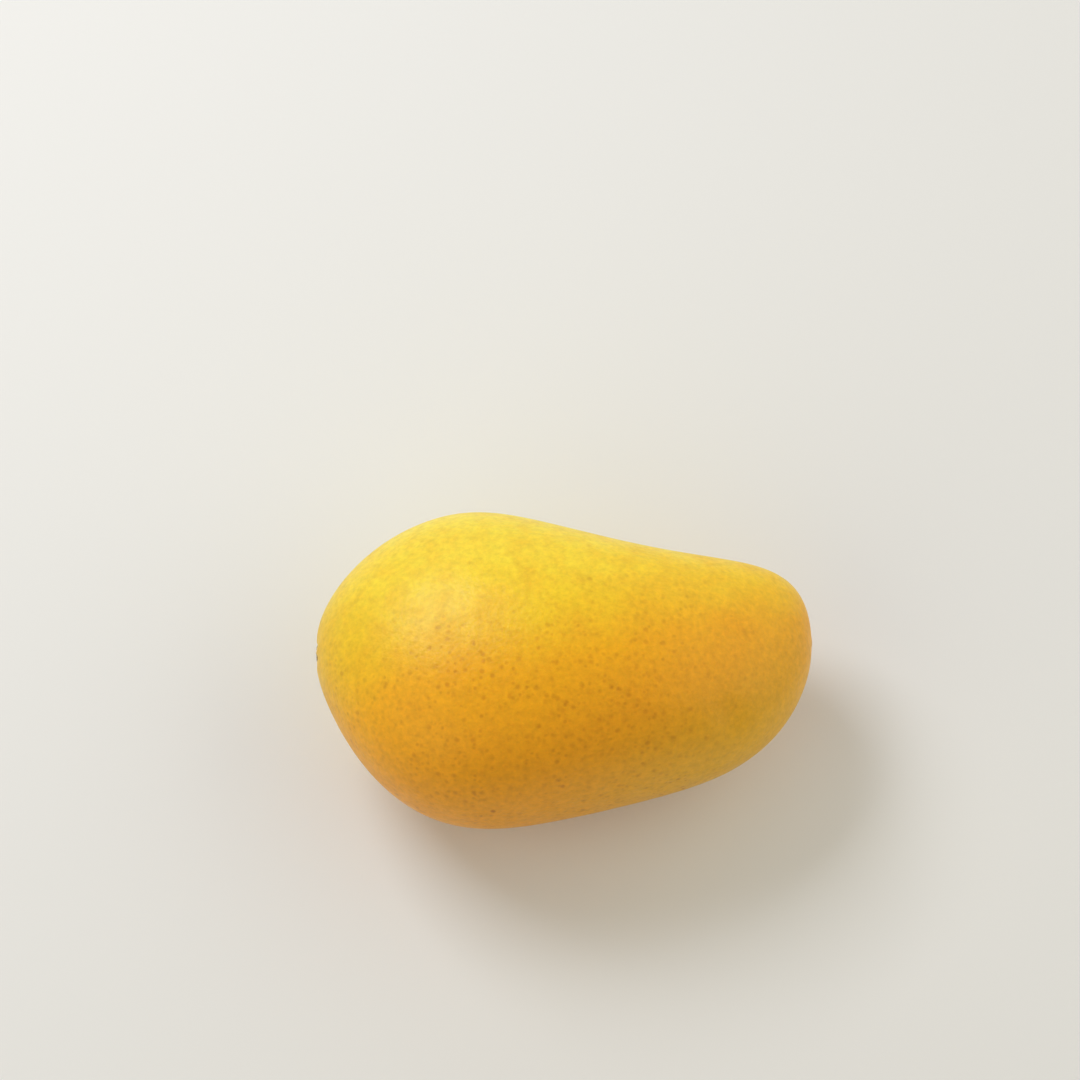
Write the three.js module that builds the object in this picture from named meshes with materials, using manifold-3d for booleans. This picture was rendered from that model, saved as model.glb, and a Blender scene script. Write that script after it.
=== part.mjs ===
// A ripe golden mango of the long, kidney-shaped kind, lying on one of its two flat cheeks.
//
// Millimetres, +Z up. X is the length, with the stem end at -X and the apex at +X. Y is the width: the
// ventral edge, which dips in towards the apex, is on the +Y side, and the fuller dorsal edge on the -Y
// side. Z is the thickness, from cheek to cheek. The origin is the middle of the fruit's box in X and Y,
// on the surface that the fruit rests on.

import * as THREE from 'three';
import { mergeVertices } from 'three/addons/utils/BufferGeometryUtils.js';
import Module from 'manifold-3d';

// Driving dimensions
const LENGTH = 120;
const APEX_RISE = 4; // the apex lies this far to the ventral side of the stem end

// How far the two edges and the cheeks stand out from the axis, in even steps from the stem end to the
// apex. Each list draws one smooth curve, and the round ends shrink it to nothing at both poles.
const VENTRAL_EDGE = [37, 39, 39.5, 38, 28.5, 24, 27.5, 37.5, 51];
const DORSAL_EDGE = [24.5, 40, 48.5, 47.5, 40.5, 38.5, 42, 44, 42.5];
const CHEEK = [31, 32, 31.5, 30, 27, 25];

const SECTION_FULLNESS = 0.03; // how much a section is squarer than an oval, half way to its corners
const VENTRAL_THINNING = 0.035; // the ventral side of a section is this much thinner than its middle

const STEM_HOLLOW_DEPTH = 0.9;
const STEM_HOLLOW_RADIUS = 4.5;
const STEM_SCAR_HEIGHT = 0.3; // the corky disc that the stem left stands up inside the hollow
const STEM_SCAR_RADIUS = 2;

const APEX_SCAR_HEIGHT = 0.2;
const APEX_SCAR_RADIUS = 1.2;

const APEX_DIP = THREE.MathUtils.degToRad(1.5); // the slimmer apex end settles this much lower
const FLAT_SPOT_DEPTH = 0.3; // how much the lower cheek is flattened where the fruit rests

const STEPS_ALONG = 64;
const STEPS_AROUND = 56;
const END_CROWDING = 0.78; // 0 spaces the rings evenly, and near 1 they crowd towards both poles

// A smooth curve drawn towards evenly spaced values, where share runs from 0 at the first value to 1 at
// the last. It is a uniform cubic B-spline, so it has no kink in its slope or its curvature.
function smoothCurve(values, share) {
  const last = values.length - 1;
  const before = 2 * values[0] - values[1];
  const after = 2 * values[last] - values[last - 1];
  const pull = [before, ...values, after];
  const place = share * last;
  const i = Math.min(Math.floor(place), last - 1);
  const f = place - i;
  const g = 1 - f;
  const near = (t) => 3 * t ** 3 - 6 * t ** 2 + 4;
  const fromBefore = g ** 3 * pull[i] + near(f) * pull[i + 1];
  const fromAfter = near(g) * pull[i + 2] + f ** 3 * pull[i + 3];
  return (fromBefore + fromAfter) / 6;
}

// The skin moves this far inwards, along the fruit, at a distance from the middle of the stem end.
function stemRelief(distance) {
  const hollow = STEM_HOLLOW_DEPTH * Math.exp(-((distance / STEM_HOLLOW_RADIUS) ** 2));
  const outsideScar = THREE.MathUtils.smoothstep(distance, 0.7 * STEM_SCAR_RADIUS, 1.3 * STEM_SCAR_RADIUS);
  return hollow - STEM_SCAR_HEIGHT * (1 - outsideScar);
}

// The skin moves this far outwards, along the fruit, at a distance from the apex.
function apexRelief(distance) {
  return APEX_SCAR_HEIGHT * Math.exp(-((distance / APEX_SCAR_RADIUS) ** 2));
}

// A point of the skin. The share runs from 0 at the stem end to 1 at the apex, and the angle goes round
// the fruit from the ventral edge, over the lower cheek first where it is positive.
function skinPoint(share, angle) {
  const toPole = Math.PI * share;
  const roundEnds = Math.sin(toPole);
  const ventral = roundEnds * smoothCurve(VENTRAL_EDGE, share);
  const dorsal = roundEnds * smoothCurve(DORSAL_EDGE, share);
  const cheek = roundEnds * smoothCurve(CHEEK, share);

  const axisY = APEX_RISE * THREE.MathUtils.smoothstep(share, 0, 1);
  const fullness = 1 + SECTION_FULLNESS * Math.sin(2 * angle) ** 2;
  const thinning = 1 - VENTRAL_THINNING * Math.cos(angle);
  const fromAxisY = (ventral - dorsal) / 2 + ((ventral + dorsal) / 2) * Math.cos(angle) * fullness;
  const z = -cheek * Math.sin(angle) * fullness * thinning;

  const distance = Math.hypot(fromAxisY, z);
  const relief = share < 0.5 ? stemRelief(distance) : apexRelief(distance);
  const x = -(LENGTH / 2) * Math.cos(toPole) + relief;
  return new THREE.Vector3(x, axisY + fromAxisY, z);
}

// The closed skin: a ball with every vertex moved to its place on the fruit, where the vertex's uv says
// how far along and around that is.
function fruitBody() {
  const ball = new THREE.SphereGeometry(1, STEPS_AROUND, STEPS_ALONG);
  const { position, uv } = ball.attributes;
  for (let i = 0; i < position.count; i += 1) {
    const evenShare = 1 - uv.getY(i);
    const crowding = (END_CROWDING * Math.sin(2 * Math.PI * evenShare)) / (2 * Math.PI);
    const point = skinPoint(evenShare - crowding, 2 * Math.PI * uv.getX(i));
    position.setXYZ(i, point.x, point.y, point.z);
  }
  ball.rotateY(APEX_DIP);
  ball.computeBoundingBox();
  const middle = ball.boundingBox.getCenter(new THREE.Vector3());
  ball.translate(-middle.x, -middle.y, -ball.boundingBox.min.z - FLAT_SPOT_DEPTH);
  return ball;
}

// A block with its top at z = 0, which cuts the flat spot.
function groundBlock() {
  const depth = 10;
  const block = new THREE.BoxGeometry(1.5 * LENGTH, 1.5 * LENGTH, depth);
  block.translate(0, 0, -depth / 2);
  return block;
}

const wasm = await Module();
wasm.setup();

function toSolid(geometry) {
  const bare = geometry.clone();
  bare.deleteAttribute('normal');
  bare.deleteAttribute('uv');
  const merged = mergeVertices(bare);
  return new wasm.Manifold(new wasm.Mesh({
    numProp: 3,
    vertProperties: new Float32Array(merged.attributes.position.array),
    triVerts: new Uint32Array(merged.index.array),
  }));
}

function toGeometry(solid) {
  const mesh = solid.getMesh();
  const geometry = new THREE.BufferGeometry();
  geometry.setAttribute('position', new THREE.BufferAttribute(mesh.vertProperties, 3));
  geometry.setIndex(new THREE.BufferAttribute(mesh.triVerts, 1));
  geometry.computeVertexNormals();
  return geometry;
}

const ripeSkin = new THREE.MeshStandardMaterial({ color: 0xe6ab2e, roughness: 0.42, metalness: 0 });

const mango = new THREE.Mesh(toGeometry(toSolid(fruitBody()).subtract(toSolid(groundBlock()))), ripeSkin);
mango.name = 'mango';

const part = new THREE.Group();
part.add(mango);

export default part;
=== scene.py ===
"""A ripe golden mango of the long, kidney-shaped kind, lying on one of its two flat cheeks.

Metres, +Z up. X runs from the stem end at -X to the apex at +X, +Y is the ventral edge that dips in,
and -Y the fuller dorsal edge. The fruit rests on a small flat spot at z = 0.
"""

import math

import bpy
import numpy as np
from mathutils import Euler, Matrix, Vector


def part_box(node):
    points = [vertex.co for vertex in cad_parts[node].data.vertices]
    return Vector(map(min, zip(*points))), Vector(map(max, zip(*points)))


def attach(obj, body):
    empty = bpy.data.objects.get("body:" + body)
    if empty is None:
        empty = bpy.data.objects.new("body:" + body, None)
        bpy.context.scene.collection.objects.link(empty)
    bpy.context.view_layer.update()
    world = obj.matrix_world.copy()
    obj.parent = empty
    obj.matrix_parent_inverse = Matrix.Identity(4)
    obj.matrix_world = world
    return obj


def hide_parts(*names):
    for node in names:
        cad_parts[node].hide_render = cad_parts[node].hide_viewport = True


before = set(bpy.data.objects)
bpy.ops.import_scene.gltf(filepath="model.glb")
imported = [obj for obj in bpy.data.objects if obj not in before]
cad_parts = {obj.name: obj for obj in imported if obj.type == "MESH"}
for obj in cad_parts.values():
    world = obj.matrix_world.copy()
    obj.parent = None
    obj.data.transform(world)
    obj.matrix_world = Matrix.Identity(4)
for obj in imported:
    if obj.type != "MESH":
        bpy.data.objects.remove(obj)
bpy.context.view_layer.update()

MM = 0.001

# The form, in millimetres: the same driving dimensions as the solid has.
LENGTH = 120
APEX_RISE = 4
VENTRAL_EDGE = [37, 39, 39.5, 38, 28.5, 24, 27.5, 37.5, 51]
DORSAL_EDGE = [24.5, 40, 48.5, 47.5, 40.5, 38.5, 42, 44, 42.5]
CHEEK = [31, 32, 31.5, 30, 27, 25]
SECTION_FULLNESS = 0.03
VENTRAL_THINNING = 0.035
STEM_HOLLOW_DEPTH = 0.9
STEM_HOLLOW_RADIUS = 4.5
STEM_SCAR_HEIGHT = 0.3
STEM_SCAR_RADIUS = 2
APEX_SCAR_HEIGHT = 0.2
APEX_SCAR_RADIUS = 1.2
APEX_DIP = math.radians(1.5)
FLAT_SPOT_DEPTH = 0.3

# How fine the visible skin is: faces about a millimetre long in the middle, and finer towards both poles.
STEPS_ALONG = 280
STEPS_AROUND = 320
END_CROWDING = 0.6

# Fine relief round the stem scar, in millimetres: its middle is sunk by this share of its height, a groove
# runs round it, and small folds run out from it.
SCAR_SUNK_SHARE = 0.6
SCAR_SUNK_RADIUS = 0.8
STEM_GROOVE_DEPTH = 0.25
STEM_GROOVE_WIDTH = 0.45
STEM_FOLD_COUNT = 9
STEM_FOLD_HEIGHT = 0.10
STEM_FOLD_RADIUS = 3.8
STEM_FOLD_REACH = 1.6

# Waves that make the stem hollow and the scar uneven: how many go round, their share of the radius, and
# where they start, in radians.
HOLLOW_WAVES = [(5, 0.10, 0.6), (8, 0.06, 2.1)]
SCAR_WAVES = [(3, 0.09, 1.0), (7, 0.05, 0.0)]

# Shallow dents in the upper cheek: x, y, radius and depth in millimetres.
CHEEK_DENTS = [(38.5, -17.5, 4, 1.0), (-12, 22, 10, 0.25), (12, -24, 9, 0.3)]

# Unevenness of the grown skin, in millimetres.
SWELL_HEIGHT = 0.45
SWELL_WIDTH = 34
RIPPLE_HEIGHT = 0.07
RIPPLE_WIDTH = 9
UNEVENNESS_SEED = 4.7

# The ripe colours, from the ventral shoulder at 0 to low on the belly at 1, and how far across the fruit
# that runs, in millimetres. The first, palest yellow is real colour with painted highlight in it: its
# extra whiteness stands in for the shine along the top of the fruit.
RIPE_COLOURS_AND_PAINTED_HIGHLIGHT = [(0.0, "#F5DE42"), (0.20, "#F4D62E"), (0.36, "#F3C820"),
                (0.50, "#F2B010"), (0.68, "#EEA40C"), (1.0, "#E69E0C")]
RIPE_FROM = -32
RIPE_TO = 52
TOWARDS_BELLY = (0.26, -0.95, -0.12)
TOWARDS_APEX_BELLY = (0.6, -0.8, 0)

CLOUD_COLOUR = "#E39A10"
APEX_BELLY_COLOUR = "#E2B424"
STEM_END_COLOUR = "#D39C1C"
PORE_COLOUR = "#AA5E00"
DRIED_RING_COLOUR = "#B08434"
DARK_CORK_COLOUR = "#4A3420"
LIGHT_CORK_COLOUR = "#A58252"
APEX_SCAR_COLOUR = "#6E4E22"

# How wide the patterns in the skin are, in millimetres. On the real skin the grain and the pebbles are too
# fine for the picture, and they are drawn as coarse as they need to show.
RIPE_DRIFT_WIDTH = 38
RIPE_DRIFT_REACH = 22
CLOUD_WIDTH = 7
PORE_PATCH_WIDTH = 16
GRAIN_WIDTH = 1.6
PEBBLE_WIDTH = 0.9
CORK_CRUMB_WIDTH = 0.7

# The pores: how far apart their cells are and how wide they reach in millimetres, the share of cells
# that stays bare, and how strongly the darkest ones show.
PORE_KINDS = [(2.1, 0.95, 0.05, 0.46), (1.5, 0.66, 0.10, 0.40), (5.6, 0.95, 0.45, 1.0)]

# Relief that is too fine for the mesh, in millimetres.
PEBBLE_HEIGHT = 0.11
PORE_DEPTH = 0.04
CORK_CRUMB_HEIGHT = 0.25

# The photograph's frame and where the fruit's axis is seen in it, in its own pixels.
FRAME_SIDE = 1080
FRUIT_SEEN_AT = (565.2, 656.9)
FRUIT_AXIS = Vector((0, 3.2 * MM, 30.6 * MM))
CAMERA_ELEVATION = math.radians(68)
CAMERA_DISTANCE = 0.7235
LENS = 100
SENSOR = 36

FLOOR_SIDE = 6.0


def linear(hex_colour):
    """An sRGB hex colour as the linear red, green, blue and alpha that Blender works in."""
    values = [int(hex_colour[i:i + 2], 16) / 255 for i in (1, 3, 5)]
    return [v / 12.92 if v <= 0.04045 else ((v + 0.055) / 1.055) ** 2.4 for v in values] + [1.0]


def add(tree, kind, settings=None, inputs=None):
    """Adds a node with its settings. An input is named, or numbered where names repeat, and takes a value,
    a node or a socket."""
    node = tree.nodes.new(kind)
    for name, value in (settings or {}).items():
        setattr(node, name, value)
    for key, value in (inputs or {}).items():
        if isinstance(key, int):
            socket = node.inputs[key]
        else:
            socket = next(s for s in node.inputs if s.enabled and s.name == key)
        if isinstance(value, bpy.types.Node):
            value = next(s for s in value.outputs if s.enabled)
        if isinstance(value, bpy.types.NodeSocket):
            tree.links.new(value, socket)
        else:
            socket.default_value = value
    return node


def smooth_step(value, low, high):
    share = np.clip((value - low) / (high - low), 0, 1)
    return share * share * (3 - 2 * share)


def smooth_curve(values, share):
    """A uniform cubic B-spline drawn towards evenly spaced values, read at shares from 0 to 1."""
    values = np.asarray(values, float)
    last = len(values) - 1
    pull = np.r_[2 * values[0] - values[1], values, 2 * values[last] - values[last - 1]]
    place = share * last
    i = np.minimum(place.astype(int), last - 1)
    f = place - i
    g = 1 - f
    from_before = g ** 3 * pull[i] + (3 * f ** 3 - 6 * f ** 2 + 4) * pull[i + 1]
    from_after = (3 * g ** 3 - 6 * g ** 2 + 4) * pull[i + 2] + f ** 3 * pull[i + 3]
    return (from_before + from_after) / 6


def wavy(radius, waves, bearing):
    """A radius that grows and shrinks by turns, going round."""
    return radius * (1 + sum(share * np.cos(count * bearing + start) for count, share, start in waves))


def stem_relief(distance, bearing):
    """How far the skin goes in at the stem end: an uneven hollow with a ragged corky disc in it."""
    hollow_radius = wavy(STEM_HOLLOW_RADIUS, HOLLOW_WAVES, bearing)
    hollow = STEM_HOLLOW_DEPTH * np.exp(-(distance / hollow_radius) ** 2)
    scar_radius = wavy(STEM_SCAR_RADIUS, SCAR_WAVES, bearing)
    scar = 1 - smooth_step(distance, 0.7 * scar_radius, 1.3 * scar_radius)
    sunk_middle = SCAR_SUNK_SHARE * np.exp(-(distance / SCAR_SUNK_RADIUS) ** 2)
    groove = STEM_GROOVE_DEPTH * np.exp(-((distance - 1.3 * scar_radius) / STEM_GROOVE_WIDTH) ** 2)
    round_fold = np.cos(STEM_FOLD_COUNT * bearing + 0.9 * np.sin(2 * bearing))
    folds = STEM_FOLD_HEIGHT * round_fold * np.exp(-((distance - STEM_FOLD_RADIUS) / STEM_FOLD_REACH) ** 2)
    return hollow + groove + folds - STEM_SCAR_HEIGHT * (scar - sunk_middle)


def skin_points(share, angle):
    """Points of the skin in millimetres, and how far each is from the pole that it is nearer to."""
    to_pole = np.pi * share
    round_ends = np.sin(to_pole)
    ventral = round_ends * smooth_curve(VENTRAL_EDGE, share)
    dorsal = round_ends * smooth_curve(DORSAL_EDGE, share)
    cheek = round_ends * smooth_curve(CHEEK, share)
    fullness = 1 + SECTION_FULLNESS * np.sin(2 * angle) ** 2
    thinning = 1 - VENTRAL_THINNING * np.cos(angle)
    from_axis_y = (ventral - dorsal) / 2 + (ventral + dorsal) / 2 * np.cos(angle) * fullness
    z = -cheek * np.sin(angle) * fullness * thinning
    distance = np.hypot(from_axis_y, z)
    apex = APEX_SCAR_HEIGHT * np.exp(-(distance / APEX_SCAR_RADIUS) ** 2)
    relief = np.where(share < 0.5, stem_relief(distance, np.arctan2(z, from_axis_y)), apex)
    x = -LENGTH / 2 * np.cos(to_pole) + relief
    y = APEX_RISE * smooth_step(share, 0, 1) + from_axis_y
    return np.stack([x, y, z], -1), distance


def settled(points):
    """Turned and moved, in millimetres, to where the solid lies."""
    sine, cosine = math.sin(APEX_DIP), math.cos(APEX_DIP)
    x = points[:, 0] * cosine + points[:, 2] * sine
    z = points[:, 2] * cosine - points[:, 0] * sine
    points = np.stack([x, points[:, 1], z], -1)
    low, high = np.array(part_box("mango")) / MM
    middle = (points.min(0) + points.max(0)) / 2
    points[:, :2] += ((low + high) / 2 - middle)[:2]
    points[:, 2] += low[2] - FLAT_SPOT_DEPTH - points[:, 2].min()
    return points


def dented(points):
    """The dents pressed into the upper cheek. They fade out down its sides."""
    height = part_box("mango")[1][2] / MM
    for x, y, radius, depth in CHEEK_DENTS:
        away = np.hypot(points[:, 0] - x, points[:, 1] - y) / radius
        upper = smooth_step(points[:, 2], 0.45 * height, 0.7 * height)
        points[:, 2] -= upper * depth * np.exp(-away ** 2)
    return points


def fruit_mesh():
    """The skin as one closed mesh: a vertex at each pole and rings of quads between them."""
    even = np.arange(1, STEPS_ALONG) / STEPS_ALONG
    share = even - END_CROWDING * np.sin(2 * np.pi * even) / (2 * np.pi)
    angle = np.arange(STEPS_AROUND) * 2 * np.pi / STEPS_AROUND
    shares = np.r_[0.0, np.repeat(share, STEPS_AROUND), 1.0]
    angles = np.r_[0.0, np.tile(angle, STEPS_ALONG - 1), 0.0]
    points, distance = skin_points(shares, angles)

    ring = np.arange(STEPS_AROUND)
    after = (ring + 1) % STEPS_AROUND
    stem, apex = 0, len(shares) - 1
    last = apex - STEPS_AROUND
    faces = [(stem, 1 + a, 1 + b) for a, b in zip(ring, after)]
    for first in range(1, last, STEPS_AROUND):
        second = first + STEPS_AROUND
        faces += [(first + a, second + a, second + b, first + b) for a, b in zip(ring, after)]
    faces += [(apex, last + b, last + a) for a, b in zip(ring, after)]

    mesh = bpy.data.meshes.new("mango_skin")
    mesh.from_pydata((dented(settled(points)) * MM).tolist(), [], faces)
    mesh.polygons.foreach_set("use_smooth", [True] * len(mesh.polygons))
    from_stem = np.where(shares < 0.5, distance, LENGTH)
    from_apex = np.where(shares < 0.5, LENGTH, distance)
    for name, values in (("from_stem", from_stem * MM), ("from_apex", from_apex * MM)):
        layer = mesh.attributes.new(name, "FLOAT", "POINT")
        layer.data.foreach_set("value", values.astype(np.float32))
    return mesh


def uneven_skin_tree():
    """Moves the skin in and out by soft noise, and flattens what would sink below the ground."""
    tree = bpy.data.node_groups.new("uneven_skin", "GeometryNodeTree")
    sockets = tree.interface
    sockets.new_socket("Skin", in_out="INPUT", socket_type="NodeSocketGeometry")
    for name in ("Swell Height", "Swell Width", "Ripple Height", "Ripple Width", "Seed"):
        sockets.new_socket(name, in_out="INPUT", socket_type="NodeSocketFloat")
    sockets.new_socket("Finish", in_out="INPUT", socket_type="NodeSocketMaterial")
    sockets.new_socket("Skin", in_out="OUTPUT", socket_type="NodeSocketGeometry")

    given = add(tree, "NodeGroupInput").outputs
    place = add(tree, "GeometryNodeInputPosition")
    heights = []
    for height, width in (("Swell Height", "Swell Width"), ("Ripple Height", "Ripple Width")):
        scale = add(tree, "ShaderNodeMath", {"operation": "DIVIDE"}, {0: 1.0, 1: given[width]})
        noise = add(tree, "ShaderNodeTexNoise", {"noise_dimensions": "4D"},
                    {"Vector": place, "W": given["Seed"], "Scale": scale, "Detail": 1.0})
        centred = add(tree, "ShaderNodeMath", {"operation": "SUBTRACT"}, {0: noise, 1: 0.5})
        raised = add(tree, "ShaderNodeMath", {"operation": "MULTIPLY"}, {0: centred, 1: given[height]})
        heights.append(raised)
    total = add(tree, "ShaderNodeMath", {"operation": "ADD"}, {0: heights[0], 1: heights[1]})
    outwards = add(tree, "GeometryNodeInputNormal")
    offset = add(tree, "ShaderNodeVectorMath", {"operation": "SCALE"},
                 {"Vector": outwards, "Scale": total})
    moved = add(tree, "GeometryNodeSetPosition", None, {"Geometry": given["Skin"], "Offset": offset})

    split = add(tree, "ShaderNodeSeparateXYZ", None, {"Vector": place}).outputs
    on_ground = add(tree, "ShaderNodeMath", {"operation": "MAXIMUM"}, {0: split["Z"], 1: 0.0})
    level = add(tree, "ShaderNodeCombineXYZ", None, {"X": split["X"], "Y": split["Y"], "Z": on_ground})
    rested = add(tree, "GeometryNodeSetPosition", None, {"Geometry": moved, "Position": level})
    plain = add(tree, "GeometryNodeRealizeInstances", None, {"Geometry": rested})
    finished = add(tree, "GeometryNodeSetMaterial", None, {"Geometry": plain, "Material": given["Finish"]})
    add(tree, "NodeGroupOutput", None, {"Skin": finished})
    return tree


def belly_reach(tree, place):
    """0 at the ventral shoulder and 1 low on the belly, in a slightly wavy blend."""
    drift = add(tree, "ShaderNodeTexNoise", None,
                {"Vector": place, "Scale": 1 / (RIPE_DRIFT_WIDTH * MM), "Detail": 2.0})
    across = add(tree, "ShaderNodeVectorMath", {"operation": "DOT_PRODUCT"}, {0: place, 1: TOWARDS_BELLY})
    blend = add(tree, "ShaderNodeMath", {"operation": "MULTIPLY_ADD"},
                {0: drift, 1: RIPE_DRIFT_REACH * MM, 2: across.outputs["Value"]})
    return add(tree, "ShaderNodeMapRange", None,
               {"Value": blend, "From Min": RIPE_FROM * MM, "From Max": RIPE_TO * MM})


def ripe_colour(tree, place, reach, clouds, from_stem):
    """The skin without its pores: yellow to orange with cloudy mottling, a duller yellow on the belly near
    the apex, and warmer towards the stem end. The palest yellow at the shoulder is partly painted
    highlight."""
    ground = add(tree, "ShaderNodeValToRGB", None, {"Fac": reach})
    ramp = ground.color_ramp
    while len(ramp.elements) < len(RIPE_COLOURS_AND_PAINTED_HIGHLIGHT):
        ramp.elements.new(0.5)
    for element, (position, colour) in zip(ramp.elements, RIPE_COLOURS_AND_PAINTED_HIGHLIGHT):
        element.position = position
        element.color = linear(colour)

    cloud_share = add(tree, "ShaderNodeMapRange", None,
                      {"Value": clouds, "From Min": 0.40, "From Max": 0.70, "To Max": 0.28})
    clouded = add(tree, "ShaderNodeMix", {"data_type": "RGBA"},
                  {"Factor": cloud_share, "A": ground.outputs["Color"], "B": linear(CLOUD_COLOUR)})

    towards_apex_belly = add(tree, "ShaderNodeVectorMath", {"operation": "DOT_PRODUCT"},
                             {0: place, 1: TOWARDS_APEX_BELLY})
    dull_share = add(tree, "ShaderNodeMapRange", {"interpolation_type": "SMOOTHSTEP"},
                     {"Value": towards_apex_belly.outputs["Value"],
                      "From Min": 22 * MM, "From Max": 46 * MM, "To Max": 0.75})
    dulled = add(tree, "ShaderNodeMix", {"data_type": "RGBA"},
                 {"Factor": dull_share, "A": clouded, "B": linear(APEX_BELLY_COLOUR)})

    stem_share = add(tree, "ShaderNodeMapRange", {"interpolation_type": "SMOOTHSTEP"},
                     {"Value": from_stem, "From Min": 30 * MM, "From Max": 3 * MM, "To Max": 0.45})
    return add(tree, "ShaderNodeMix", {"data_type": "RGBA"},
               {"Factor": stem_share, "A": dulled, "B": linear(STEM_END_COLOUR)})


def pore_crowding(tree, place, reach):
    """How many pores show: most on the belly in the middle of the fruit, in patches, and few on the yellow
    shoulder and towards the apex."""
    patches = add(tree, "ShaderNodeTexNoise", None,
                  {"Vector": place, "Scale": 1 / (PORE_PATCH_WIDTH * MM), "Detail": 1.0})
    patch_share = add(tree, "ShaderNodeMapRange", None,
                      {"Value": patches, "From Min": 0.35, "From Max": 0.6, "To Min": 0.45})
    belly_share = add(tree, "ShaderNodeMapRange", {"interpolation_type": "SMOOTHSTEP"},
                      {"Value": reach, "From Min": 0.12, "From Max": 0.55, "To Min": 0.16})
    along = add(tree, "ShaderNodeSeparateXYZ", None, {"Vector": place}).outputs["X"]
    apex_share = add(tree, "ShaderNodeMapRange", {"interpolation_type": "SMOOTHSTEP"},
                     {"Value": along, "From Min": 22 * MM, "From Max": 48 * MM,
                      "To Min": 1.0, "To Max": 0.35})
    on_belly = add(tree, "ShaderNodeMath", {"operation": "MULTIPLY"}, {0: belly_share, 1: apex_share})
    return add(tree, "ShaderNodeMath", {"operation": "MULTIPLY"}, {0: patch_share, 1: on_belly})


def with_pores(tree, place, reach, skin):
    """Soft olive-brown dots up to a millimetre across and about 2 mm apart, and a few scattered ones that
    are larger and darker. Gives the dotted colour, and how strongly a pore shows."""
    crowding = pore_crowding(tree, place, reach)
    pores = 0.0
    for spacing, radius, bare_share, strength in PORE_KINDS:
        cells = add(tree, "ShaderNodeTexVoronoi", None, {"Vector": place, "Scale": 1 / (spacing * MM)})
        dot = add(tree, "ShaderNodeMapRange", {"interpolation_type": "SMOOTHSTEP"},
                  {"Value": cells.outputs["Distance"], "From Min": radius / spacing,
                   "From Max": 0.2 * radius / spacing, "To Max": strength})
        chance = add(tree, "ShaderNodeSeparateColor", None, {"Color": cells.outputs["Color"]})
        pick = add(tree, "ShaderNodeMapRange", None,
                   {"Value": chance.outputs["Red"], "From Min": bare_share})
        picked = add(tree, "ShaderNodeMath", {"operation": "MULTIPLY"}, {0: dot, 1: pick})
        shown = add(tree, "ShaderNodeMath", {"operation": "MULTIPLY"}, {0: picked, 1: crowding})
        skin = add(tree, "ShaderNodeMix", {"data_type": "RGBA"},
                   {"Factor": shown, "A": skin, "B": linear(PORE_COLOUR)})
        pores = add(tree, "ShaderNodeMath", {"operation": "MAXIMUM"}, {0: pores, 1: shown})
    return skin, pores


def grained(tree, place, skin):
    """A fine grain, lighter and darker by turns."""
    grain = add(tree, "ShaderNodeTexNoise", None,
                {"Vector": place, "Scale": 1 / (GRAIN_WIDTH * MM), "Detail": 3.0, "Roughness": 0.65})
    light = add(tree, "ShaderNodeMapRange", None,
                {"Value": grain, "From Min": 0.3, "From Max": 0.7, "To Min": 0.90, "To Max": 1.10})
    return add(tree, "ShaderNodeVectorMath", {"operation": "SCALE"}, {"Vector": skin, "Scale": light})


def with_scars(tree, from_stem, crumbs, skin):
    """The ragged stem scar of dry brown cork in a narrow ring of dried tan skin, and the dot at the apex.
    Gives the colour, and the share of it that is cork."""
    ragged = add(tree, "ShaderNodeMath", {"operation": "MULTIPLY_ADD"},
                 {0: crumbs, 1: 1.6 * MM, 2: from_stem})
    ring_share = add(tree, "ShaderNodeMapRange", {"interpolation_type": "SMOOTHSTEP"},
                     {"Value": ragged, "From Min": 4.6 * MM, "From Max": 3.2 * MM, "To Max": 0.6})
    ringed = add(tree, "ShaderNodeMix", {"data_type": "RGBA"},
                 {"Factor": ring_share, "A": skin, "B": linear(DRIED_RING_COLOUR)})
    cork_share = add(tree, "ShaderNodeMapRange", {"interpolation_type": "SMOOTHSTEP"},
                     {"Value": ragged, "From Min": 3.2 * MM, "From Max": 2.7 * MM})
    cork = add(tree, "ShaderNodeMix", {"data_type": "RGBA"},
               {"Factor": crumbs, "A": linear(DARK_CORK_COLOUR), "B": linear(LIGHT_CORK_COLOUR)})
    corked = add(tree, "ShaderNodeMix", {"data_type": "RGBA"},
                 {"Factor": cork_share, "A": ringed, "B": cork})
    from_apex = add(tree, "ShaderNodeAttribute", {"attribute_name": "from_apex"}).outputs["Fac"]
    tip_share = add(tree, "ShaderNodeMapRange", {"interpolation_type": "SMOOTHSTEP"},
                    {"Value": from_apex, "From Min": 1.8 * MM, "From Max": 0.6 * MM, "To Max": 0.8})
    colour = add(tree, "ShaderNodeMix", {"data_type": "RGBA"},
                 {"Factor": tip_share, "A": corked, "B": linear(APEX_SCAR_COLOUR)})
    return colour, cork_share


def fine_relief(tree, place, pores, crumbs, cork_share):
    """Pebbled skin, slightly sunken pores and crumbly cork."""
    pebbles = add(tree, "ShaderNodeTexNoise", None,
                  {"Vector": place, "Scale": 1 / (PEBBLE_WIDTH * MM), "Detail": 2.0})
    pebbled = add(tree, "ShaderNodeBump", None,
                  {"Height": pebbles, "Distance": PEBBLE_HEIGHT * MM, "Strength": 0.9})
    pitted = add(tree, "ShaderNodeBump", {"invert": True},
                 {"Height": pores, "Distance": PORE_DEPTH * MM, "Strength": 0.5, "Normal": pebbled})
    crumbly = add(tree, "ShaderNodeMath", {"operation": "MULTIPLY"}, {0: crumbs, 1: cork_share})
    return add(tree, "ShaderNodeBump", None,
               {"Height": crumbly, "Distance": CORK_CRUMB_HEIGHT * MM, "Strength": 1.0, "Normal": pitted})


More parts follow.
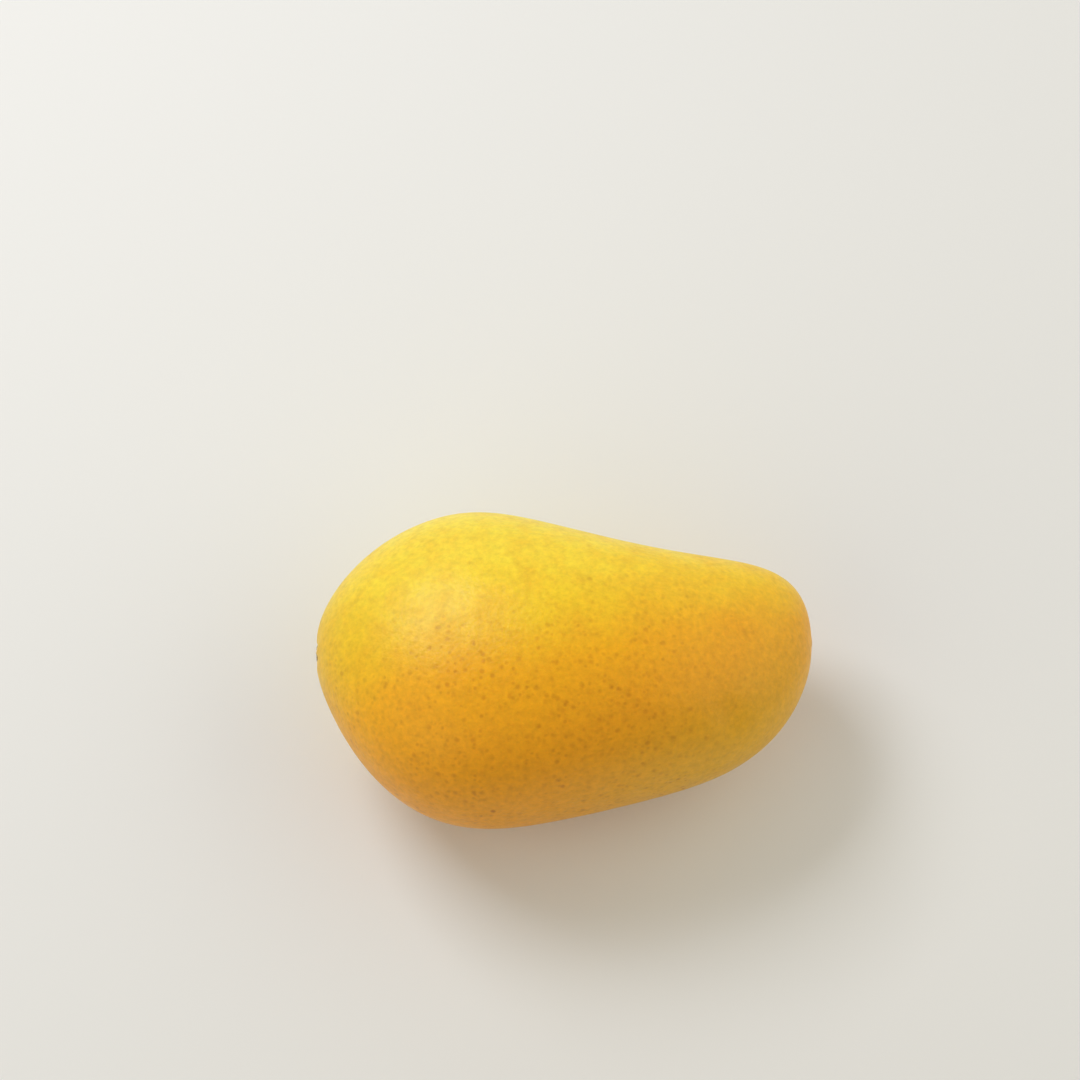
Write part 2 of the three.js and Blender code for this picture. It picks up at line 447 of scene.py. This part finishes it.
def ripe_mango_skin():
    """Ripe mango skin: grown, with a thin natural wax. To the eye it is a deep golden yellow that warms to
    orange along the belly, with a soft broad shine, fine brown-olive pores and a faint pebbled grain."""
    material = bpy.data.materials.new("ripe_mango_skin")
    material.use_nodes = True
    tree = material.node_tree
    tree.nodes.clear()
    place = add(tree, "ShaderNodeTexCoord").outputs["Object"]
    from_stem = add(tree, "ShaderNodeAttribute", {"attribute_name": "from_stem"}).outputs["Fac"]
    clouds = add(tree, "ShaderNodeTexNoise", None,
                 {"Vector": place, "Scale": 1 / (CLOUD_WIDTH * MM), "Detail": 4.0, "Roughness": 0.6})
    crumbs = add(tree, "ShaderNodeTexNoise", None,
                 {"Vector": place, "Scale": 1 / (CORK_CRUMB_WIDTH * MM), "Detail": 3.0})

    reach = belly_reach(tree, place)
    ripe = ripe_colour(tree, place, reach, clouds, from_stem)
    dotted, pores = with_pores(tree, place, reach, ripe)
    colour, cork_share = with_scars(tree, from_stem, crumbs, grained(tree, place, dotted))

    uneven_wax = add(tree, "ShaderNodeMapRange", None,
                     {"Value": clouds, "From Min": 0.3, "From Max": 0.7, "To Min": 0.36, "To Max": 0.46})
    dull_cork = 0.85
    roughness = add(tree, "ShaderNodeMix", None, {"Factor": cork_share, "A": uneven_wax, "B": dull_cork})

    skin = add(tree, "ShaderNodeBsdfPrincipled", {"subsurface_method": "RANDOM_WALK"},
               {"Base Color": colour, "Roughness": roughness, "IOR": 1.4,
                "Normal": fine_relief(tree, place, pores, crumbs, cork_share),
                "Subsurface Weight": 0.12, "Subsurface Scale": 2 * MM,
                "Subsurface Radius": (1.0, 0.5, 0.15)})
    add(tree, "ShaderNodeOutputMaterial", None, {"Surface": skin})
    return material


def make_fruit():
    """The whole fruit, with its uneven skin worked into a plain mesh."""
    skin = ripe_mango_skin()
    rough = bpy.data.objects.new("mango_form", fruit_mesh())
    bpy.context.collection.objects.link(rough)
    tree = uneven_skin_tree()
    modifier = rough.modifiers.new("uneven_skin", "NODES")
    modifier.node_group = tree
    values = {"Swell Height": SWELL_HEIGHT * MM, "Swell Width": SWELL_WIDTH * MM,
              "Ripple Height": RIPPLE_HEIGHT * MM, "Ripple Width": RIPPLE_WIDTH * MM,
              "Seed": UNEVENNESS_SEED, "Finish": skin}
    for item in tree.interface.items_tree:
        if item.in_out == "INPUT" and item.name in values:
            modifier[item.identifier] = values[item.name]
    bpy.context.view_layer.update()
    depsgraph = bpy.context.evaluated_depsgraph_get()
    mesh = bpy.data.meshes.new_from_object(rough.evaluated_get(depsgraph), depsgraph=depsgraph)
    mesh.name = "mango_fruit"
    fruit = bpy.data.objects.new("mango_fruit", mesh)
    bpy.context.collection.objects.link(fruit)
    bpy.data.objects.remove(rough)
    return fruit


def matte_pale_floor():
    """A pale matte studio floor: it gives a clean, nearly white ground with a soft shadow."""
    material = bpy.data.materials.new("matte_pale_floor")
    material.use_nodes = True
    finish = material.node_tree.nodes["Principled BSDF"]
    finish.inputs["Base Color"].default_value = linear("#E8EAEE")
    finish.inputs["Roughness"].default_value = 0.9
    finish.inputs["Specular IOR Level"].default_value = 0.1
    return material


def make_floor():
    half = FLOOR_SIDE / 2
    corners = [(-half, -half, 0), (half, -half, 0), (half, half, 0), (-half, half, 0)]
    mesh = bpy.data.meshes.new("studio_floor")
    mesh.from_pydata(corners, [], [(0, 1, 2, 3)])
    mesh.materials.append(matte_pale_floor())
    floor = bpy.data.objects.new("studio_floor", mesh)
    bpy.context.collection.objects.link(floor)


def add_soft_light(name, direction, distance, size, power, colour="#FFFFFF"):
    """A soft box that stands in a direction from the fruit and faces it. Its size is width and height."""
    light = bpy.data.lights.new(name, "AREA")
    light.shape = "RECTANGLE"
    light.size, light.size_y = size
    light.energy = power
    light.color = linear(colour)[:3]
    lamp = bpy.data.objects.new(name, light)
    towards = Vector(direction).normalized()
    lamp.location = FRUIT_AXIS + towards * distance
    lamp.rotation_euler = towards.to_track_quat("Z", "Y").to_euler()
    bpy.context.collection.objects.link(lamp)


def light_studio():
    add_soft_light("key_soft_box", direction=(-0.48, 0.48, 0.73), distance=1.0,
                   size=(0.5, 0.4), power=4.7)
    add_soft_light("right_fill", direction=(0.86, 0.12, 0.50), distance=1.2,
                   size=(1.6, 1.2), power=5.2, colour="#FFFADA")
    add_soft_light("back_strip", direction=(0.10, 0.93, 0.35), distance=1.3,
                   size=(1.8, 0.4), power=2.0)
    add_soft_light("front_fill", direction=(-0.72, -0.45, 0.53), distance=1.2,
                   size=(1.3, 0.9), power=3.1, colour="#FFF6CC")
    world = bpy.data.worlds.new("studio_air")
    world.use_nodes = True
    air = world.node_tree.nodes["Background"].inputs
    air["Color"].default_value = linear("#FFF8EE")
    air["Strength"].default_value = 0.39
    scene = bpy.context.scene
    scene.world = world
    scene.view_settings.view_transform = "Standard"


def place_camera():
    """Looks down on the broad side of the fruit and puts its axis where the photograph shows it."""
    camera = bpy.data.cameras.new("camera")
    camera.lens = LENS
    camera.sensor_width = SENSOR
    camera.clip_start = 0.01
    turn = Euler((math.pi / 2 - CAMERA_ELEVATION, 0, 0))
    pixels_per_unit = FRAME_SIDE * LENS / SENSOR
    right = (FRUIT_SEEN_AT[0] - FRAME_SIDE / 2) / pixels_per_unit
    down = (FRUIT_SEEN_AT[1] - FRAME_SIDE / 2) / pixels_per_unit
    towards = Vector((right, -down, -1)).normalized()
    towards.rotate(turn)
    stand = bpy.data.objects.new("camera", camera)
    stand.rotation_euler = turn
    stand.location = FRUIT_AXIS - towards * CAMERA_DISTANCE
    bpy.context.collection.objects.link(stand)
    bpy.context.scene.camera = stand


place_camera()
light_studio()
make_floor()
fruit = make_fruit()
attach(fruit, "root")
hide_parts("mango")
